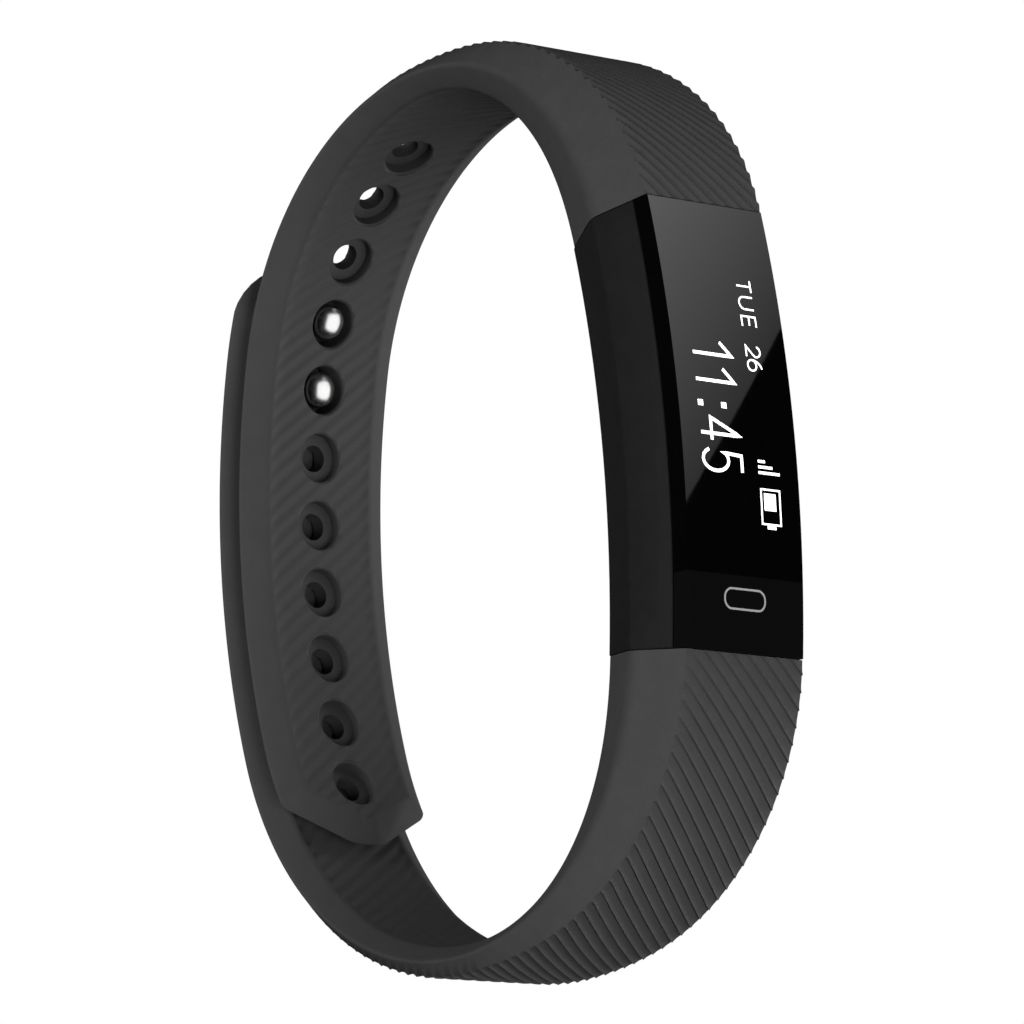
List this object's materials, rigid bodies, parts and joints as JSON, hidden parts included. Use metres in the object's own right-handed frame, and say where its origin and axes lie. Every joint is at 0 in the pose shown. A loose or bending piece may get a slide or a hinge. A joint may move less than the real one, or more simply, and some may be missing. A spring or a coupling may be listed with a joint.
{
  "type": "fitness tracker band",
  "caption": "Slim rubber fitness tracker band closed into a loop, with a curved rectangular display module, louvred straps, punched holes and a two-peg clasp.",
  "frame": {"origin": "middle of the closed loop's outline, on the surface that the band lies on with its side edge down", "axes": "+Z is the wrist's axis, through the loop; the display faces -Y; +X is the side of the strap with the holes, -X the side of the strap with the clasp"},
  "size_m": [0.0731, 0.0577, 0.0147],
  "materials": {
    "strap_rubber": "satin, very slightly grained",
    "housing_plastic": "fine matt",
    "lens_glass": "gloss, tinted black",
    "glue": "satin",
    "seal": "satin",
    "display_panel": "gloss, white pixels lit",
    "copper_film": "satin",
    "circuit_board": "semi-gloss solder mask",
    "chip_black": "matt",
    "ceramic": "matt",
    "metal_can": "satin",
    "battery_wrap": "satin foil",
    "lead_wire": "satin",
    "flex_film": "satin polyimide",
    "tungsten": "satin",
    "gold_contact": "bright",
    "steel_plate": "satin",
    "peg_steel": "polished"
  },
  "bodies": {
    "module": {"display_lens": "lens_glass", "lens_adhesive": "glue", "upper_housing": "housing_plastic", "back_cover": "housing_plastic", "case_gasket": "seal", "oled_panel": "display_panel", "touch_electrode": "copper_film", "main_board": "circuit_board", "processor_chip": "chip_black", "memory_chip": "chip_black", "motion_sensor_chip": "chip_black", "clock_crystal": "metal_can", "chip_antenna": "ceramic", "battery": "battery_wrap", "battery_leads": "lead_wire", "display_flex": "flex_film", "motor_cup": "metal_can", "motor_base": "metal_can", "motor_shaft": "metal_can", "usb_tongue": "circuit_board", "usb_contacts": "gold_contact", "anchor_tongue": "housing_plastic", "hole_strap_shoulder": "strap_rubber", "clasp_strap_shoulder": "strap_rubber"},
    "hole_tail": {"hole_strap_tail": "strap_rubber"},
    "clasp_tail": {"clasp_strap_tail": "strap_rubber", "clasp_plate": "steel_plate", "clasp_peg_end": "peg_steel", "clasp_peg_inner": "peg_steel"},
    "motor_rotor": {"motor_weight": "tungsten"}
  },
  "joints": [
    {"name": "clasp_release", "type": "hinge", "parent": "module", "child": "clasp_tail", "pos_m": [0.00002, 0.02885, 0.00735], "axis": [0, 0, 1], "range_deg": [0, 75], "stiffness_Nm_per_rad": 0.01},
    {"name": "hole_strap_flex", "type": "hinge", "parent": "module", "child": "hole_tail", "pos_m": [0.03093, 0.01767, 0.00735], "axis": [0, 0, 1], "range_deg": [0, 20], "stiffness_Nm_per_rad": 0.01},
    {"name": "motor_spin", "type": "hinge", "parent": "module", "child": "motor_rotor", "pos_m": [-0.00906, -0.02175, 0.00735], "axis": [0, -1, 0], "continuous": true}
  ]
}
